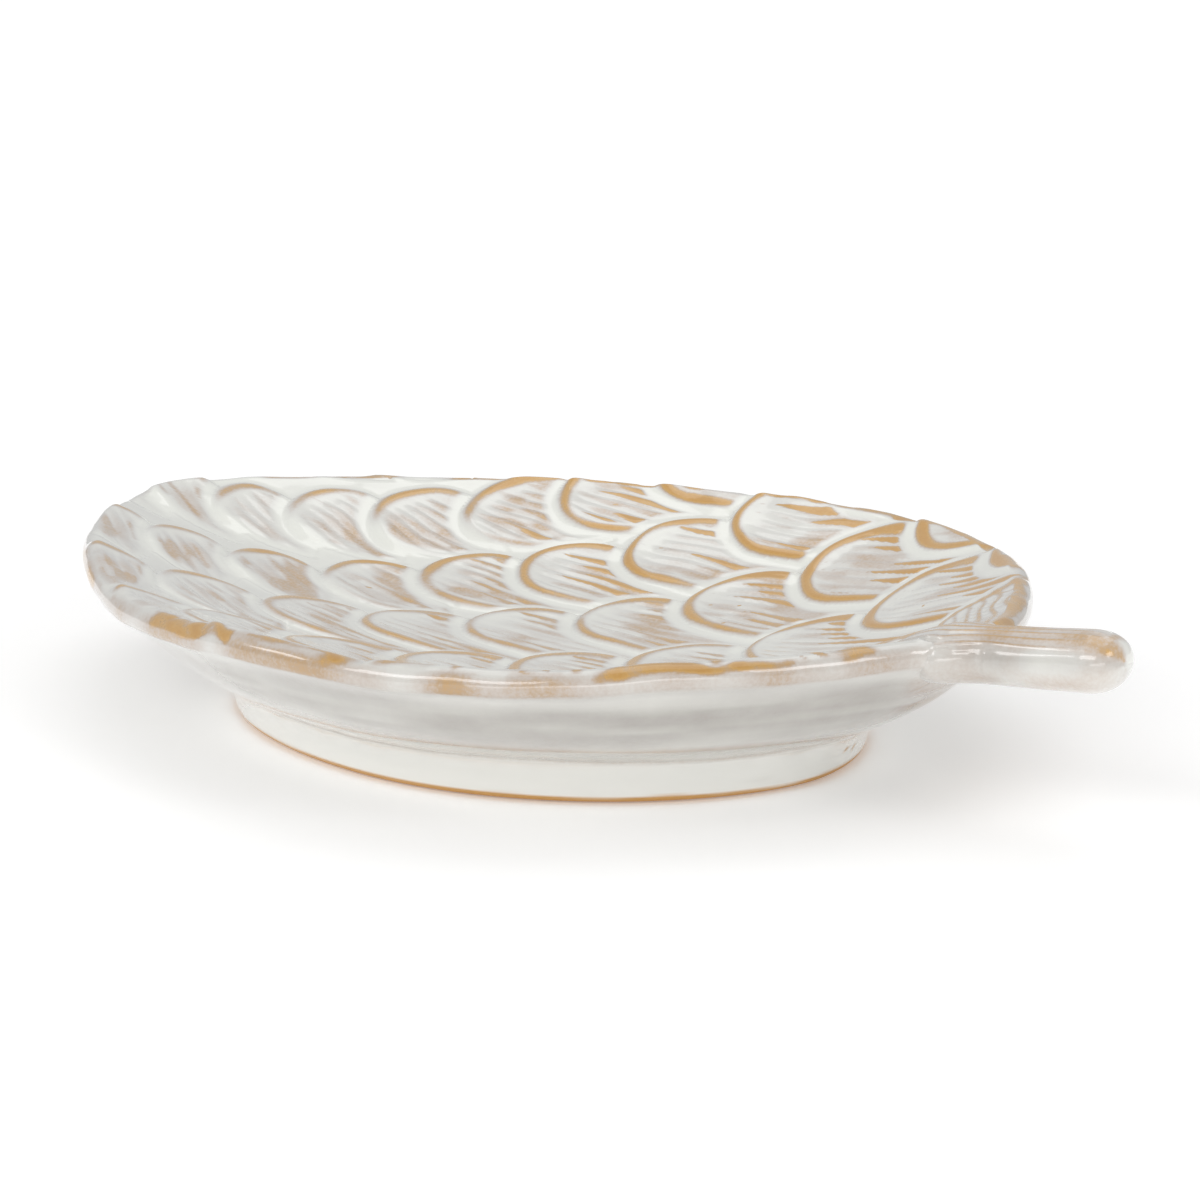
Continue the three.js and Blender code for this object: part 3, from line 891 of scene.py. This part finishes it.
# %% a socket that can do sums
class Glaze:
    """A socket of a node net; sums with it add Math nodes."""

    def __init__(self, tree, socket=None):
        self.tree, self.socket = tree, socket

    def node(self, kind, settings=None, inputs=None, out=0):
        made = self.tree.nodes.new(kind)
        for key, value in (settings or {}).items():
            if key == "stops":
                ramp = made.color_ramp
                while len(ramp.elements) < len(value):
                    ramp.elements.new(0.5)
                for element, (place, colour) in zip(ramp.elements, value):
                    element.position, element.color = place, colour
            else:
                setattr(made, key, value)
        for key, value in (inputs or {}).items():
            if isinstance(value, Glaze):
                self.tree.links.new(value.socket, made.inputs[key])
            else:
                made.inputs[key].default_value = value
        return Glaze(self.tree, made.outputs[out]) if made.outputs else made

    def math(self, operation, first, second, clamp=False):
        settings = {"operation": operation, "use_clamp": clamp}
        return self.node("ShaderNodeMath", settings, {0: first, 1: second})

    def __add__(self, other):
        return self.math("ADD", self, other)

    __radd__ = __add__

    def __sub__(self, other):
        return self.math("SUBTRACT", self, other)

    def __rsub__(self, other):
        return self.math("SUBTRACT", other, self)

    def __mul__(self, other):
        return self.math("MULTIPLY", self, other)

    __rmul__ = __mul__


print("shader sums ready")


# %% colours from the eye's scale to the light's
def tone(red, green, blue):
    """A colour given on the 0 to 255 scale of a screen, as light."""
    def lin(c):
        c = c / 255
        return c / 12.92 if c <= 0.04045 else ((c + 0.055) / 1.055) ** 2.4
    return (lin(red), lin(green), lin(blue), 1.0)


print("pooled white as light:", [round(v, 3) for v in tone(240, 240, 234)])

# %% [markdown]
# ## The reactive glaze
# The base is white where the glaze is thick. As it thins it turns grey, then pinkish, then the
# iron in the clay shows as tan. A painted picture would hold one dish only, so a colour ramp
# reads the glaze values of the points. Two noises break the edge of the tan into fine grain. The
# coat is clear and very smooth, and a faint bump keeps reflections from being perfect.


# %% glaze material
def glaze_material(name, white):
    """White where the glaze is thick, tan where it is thin, clay where it is bare."""
    material = bpy.data.materials.new(name)
    material.use_nodes = True
    tree = material.node_tree
    tree.nodes.clear()
    g = Glaze(tree)
    place = g.node("ShaderNodeTexCoord", out="Object")

    def grain(millimetres, detail):
        return g.node("ShaderNodeTexNoise", {}, {"Vector": place, "Scale": 1000 / millimetres,
                                                 "Detail": detail, "Roughness": 0.6})

    def value(key):
        return g.node("ShaderNodeAttribute", {"attribute_name": key}, out="Fac")

    thin, blush, bare = value("thin"), value("blush"), value("bare")
    cloud, speck = grain(7, 3), grain(0.55, 2)
    worn = thin * (0.7 + cloud * 0.6) + (speck - 0.5) * thin * 0.55
    stops = [(0.0, white), (0.2, tone(223, 222, 217)), (0.4, tone(205, 194, 184)),
             (0.56, tone(192, 163, 128)), (0.76, tone(205, 161, 89)), (1.0, tone(198, 149, 72))]
    coat = g.node("ShaderNodeValToRGB", {"stops": stops}, {"Fac": worn})
    # painted shade: this multiply by grey darkens the bowl's outer wall and the bead's outer side;
    # on the stem the same value is a real rosy blush
    shade_and_blush_share = g.math("MULTIPLY", blush, 0.65 + cloud * 0.3, True)
    dusky = g.node("ShaderNodeMix", {"data_type": "RGBA", "blend_type": "MULTIPLY"},
                  {0: shade_and_blush_share, 6: coat, 7: tone(180, 175, 172)}, 2)
    clay = g.node("ShaderNodeMix", {"data_type": "RGBA"},
                  {0: bare, 6: dusky, 7: tone(200, 152, 88)}, 2)
    wave = g.node("ShaderNodeBump", {}, {"Strength": 0.12, "Distance": 0.0004,
                                         "Height": grain(5, 1)})
    rough = 0.16 + worn * 0.16 + bare * 0.4
    shader = g.node("ShaderNodeBsdfPrincipled", {}, {
        "Base Color": clay, "Roughness": rough, "Normal": wave, "IOR": 1.5,
        "Coat Weight": 1.0 - bare, "Coat Roughness": 0.05, "Coat IOR": 1.5})
    g.node("ShaderNodeOutputMaterial", {}, {"Surface": shader})
    print("material", name, "has", len(tree.nodes), "nodes")
    return material


IVORY, SNOW = tone(236, 237, 230), tone(235, 235, 230)
for piece, slot_name, white in ((bowl, "glaze", IVORY), (stem, "stem_glaze", IVORY),
                                (foot, "foot_glaze", SNOW)):
    piece.data.materials.append(glaze_material(piece.name + "_finish", white))

# %% [markdown]
# ## Floor and light
# The photograph is a bright studio picture on white. A pale floor and a pale sky give the soft
# fill, and a few large soft lights make the long highlights on the lip and the stem. A brighter
# floor would wash out the wall, so the floor glows more only with its distance from the dish.

# %% floor
GLOW_NEAR, GLOW_FAR = 0.19, 0.5
GLOW_START, GLOW_GROWTH = 0.15, 1.6
bpy.ops.mesh.primitive_plane_add(size=40, location=(0, 0, -0.0002))
floor = bpy.context.object
floor.name = "pale_floor"
floor_paint = bpy.data.materials.new("pale_floor_paint")
floor_paint.use_nodes = True
floor_shader = floor_paint.node_tree.nodes["Principled BSDF"]
floor_shader.inputs["Base Color"].default_value = (0.95, 0.95, 0.95, 1)
floor_shader.inputs["Roughness"].default_value = 0.7
floor_sums = Glaze(floor_paint.node_tree)
spot = floor_sums.node("ShaderNodeTexCoord", out="Object")
away = floor_sums.node("ShaderNodeVectorMath", {"operation": "LENGTH"}, {0: spot}, "Value")
growth = floor_sums.math("MULTIPLY", away - GLOW_START, GLOW_GROWTH, True)
glow_stops = [(0.0, (GLOW_NEAR,) * 3 + (1,)), (1.0, (GLOW_FAR,) * 3 + (1,))]
glow = floor_sums.node("ShaderNodeValToRGB", {"stops": glow_stops}, {"Fac": growth})
floor_paint.node_tree.links.new(glow.socket, floor_shader.inputs["Emission Color"])
floor_shader.inputs["Emission Strength"].default_value = 1.0
floor.data.materials.append(floor_paint)
print("floor at", round(floor.location.z * 1000, 2), "mm")


# %% soft lights
def soft_light(name, place, aim, width, height, power):
    """A large lamp at a place (metres), turned towards its aim."""
    lamp = bpy.data.lights.new(name, "AREA")
    lamp.shape = "RECTANGLE"
    lamp.size, lamp.size_y, lamp.energy = width, height, power
    holder = bpy.data.objects.new(name, lamp)
    bpy.context.scene.collection.objects.link(holder)
    back = np.array(place, float) - np.array(aim, float)
    back = back / np.linalg.norm(back)
    right = np.cross([0, 0, 1], back)
    right = right / np.linalg.norm(right)
    up = np.cross(back, right)
    for row in range(3):
        for col, axis in enumerate((right, up, back)):
            holder.matrix_world[row][col] = axis[row]
        holder.matrix_world[row][3] = place[row]
    print(name, "at", place, "with", power, "W")


def studio_place(turn, rise, distance):
    """A place in the studio, by its direction from the dish in degrees."""
    turn, rise = math.radians(turn), math.radians(rise)
    return (distance * math.cos(turn) * math.cos(rise),
            distance * math.sin(turn) * math.cos(rise), distance * math.sin(rise))


MIDDLE = (0.0, 0.0, 0.02)
soft_light("top_box", (-0.1, 0.25, 0.9), MIDDLE, 0.8, 0.8, 1.5)
soft_light("low_fill", studio_place(-47, 5, 1.3), MIDDLE, 1.2, 0.22, 1.9)
soft_light("front_box_left", studio_place(-85, 35, 1.0), MIDDLE, 0.85, 0.28, 2.6)
soft_light("front_box_right", studio_place(-2, 35, 1.0), MIDDLE, 0.34, 0.28, 1.1)
soft_light("left_box", studio_place(-140, 26, 1.0), MIDDLE, 0.3, 0.12, 0.5)
sky = bpy.context.scene.world or bpy.data.worlds.new("studio")
bpy.context.scene.world = sky
sky.use_nodes = True
sky.node_tree.nodes["Background"].inputs["Color"].default_value = (1, 1, 1, 1)
sky.node_tree.nodes["Background"].inputs["Strength"].default_value = 0.58
bpy.context.scene.view_settings.view_transform = "Standard"
print("studio light ready")

# %% [markdown]
# ## Hand over to the frame
# Each piece stands for its solid in the frame and rides on the one body.

# %% ride and replace
for piece, node in ((bowl, "bowl"), (stem, "stem_handle"), (foot, "foot_ring")):
    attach(piece, "root")
    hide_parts(node)
